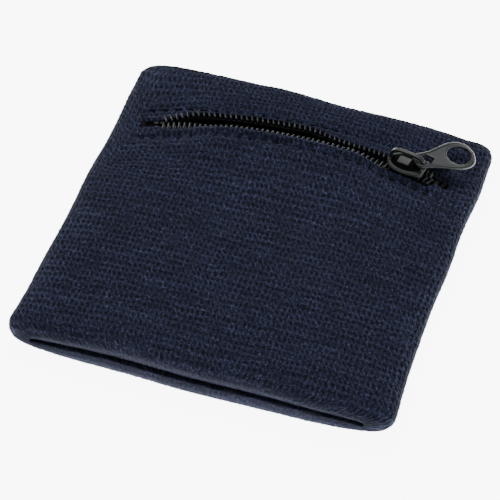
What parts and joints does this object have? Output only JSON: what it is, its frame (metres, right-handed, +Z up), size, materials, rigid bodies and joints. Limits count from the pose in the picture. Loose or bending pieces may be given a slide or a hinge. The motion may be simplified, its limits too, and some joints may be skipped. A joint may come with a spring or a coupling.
{
  "type": "sweat wristband",
  "caption": "Flat-lying knitted sweat wristband: a double-walled tube with a small zipped pocket in its upper panel, slider parked with the zip open.",
  "frame": {"origin": "on the surface the band lies on, under the middle of the flattened band", "axes": "+Z up out of the resting surface; +Y along the tube towards the mouth the zip is nearer to; +X from fold to fold, towards the end where the slider is parked"},
  "size_m": [0.08, 0.088, 0.0125],
  "materials": {
    "knit": "navy rib-like moss knit, matt, slightly fuzzy",
    "zip_tape": "black woven tape, matt",
    "coil": "black nylon monofilament, glossy",
    "cast_metal": "black-grey satin lacquer on die-cast zinc",
    "thread": "dark navy sewing thread, slightly shiny"
  },
  "bodies": {
    "lower_panel": {"outer_knit_lower": "knit", "inner_knit_lower": "knit", "closing_seam_lower": "thread", "left_fold": "knit", "right_fold": "knit"},
    "upper_panel": {"outer_knit_upper": "knit", "inner_knit_upper": "knit", "closing_seam_upper": "thread", "topstitch_near": "thread", "topstitch_far": "thread", "bar_tack_left": "thread", "bar_tack_right": "thread", "top_stop_near": "coil", "top_stop_far": "coil", "bottom_stop": "coil"},
    "near_zip_side": {"zip_tape_near": "zip_tape", "coil_near": "coil"},
    "far_zip_side": {"zip_tape_far": "zip_tape", "coil_far": "coil"},
    "zip_slider": {"slider_body": "cast_metal"},
    "zip_puller": {"puller": "cast_metal"}
  },
  "joints": [
    {"name": "wrist_opening", "type": "slide", "parent": "lower_panel", "child": "upper_panel", "axis": [0, 0, 1], "range_m": [0, 0.026], "stiffness_N_per_m": 100, "deforming": ["left_fold", "right_fold"]},
    {"name": "slider_travel", "type": "hinge", "parent": "upper_panel", "child": "zip_slider", "pos_m": [0.00563, -0.08135, 0.009], "axis": [0, 0, 1], "range_deg": [-0.99, 25.94]},
    {"name": "near_side_close", "type": "slide", "parent": "upper_panel", "child": "near_zip_side", "axis": [-0.0523, 0.9986, 0], "range_m": [-0.0002, 0.0024], "deforming": ["zip_tape_near", "coil_near"]},
    {"name": "far_side_close", "type": "slide", "parent": "upper_panel", "child": "far_zip_side", "axis": [0.0523, -0.9986, 0], "range_m": [-0.0002, 0.0024], "deforming": ["zip_tape_far", "coil_far"]},
    {"name": "puller_flip", "type": "hinge", "parent": "zip_slider", "child": "zip_puller", "pos_m": [0.02654, 0.02666, 0.01075], "axis": [0.5762, -0.8173, 0], "range_deg": [0, 105]}
  ],
  "couplings": [
    {"joint": "near_side_close", "follows": "slider_travel", "m_per_rad": 0.00508},
    {"joint": "far_side_close", "follows": "slider_travel", "m_per_rad": 0.00508}
  ]
}
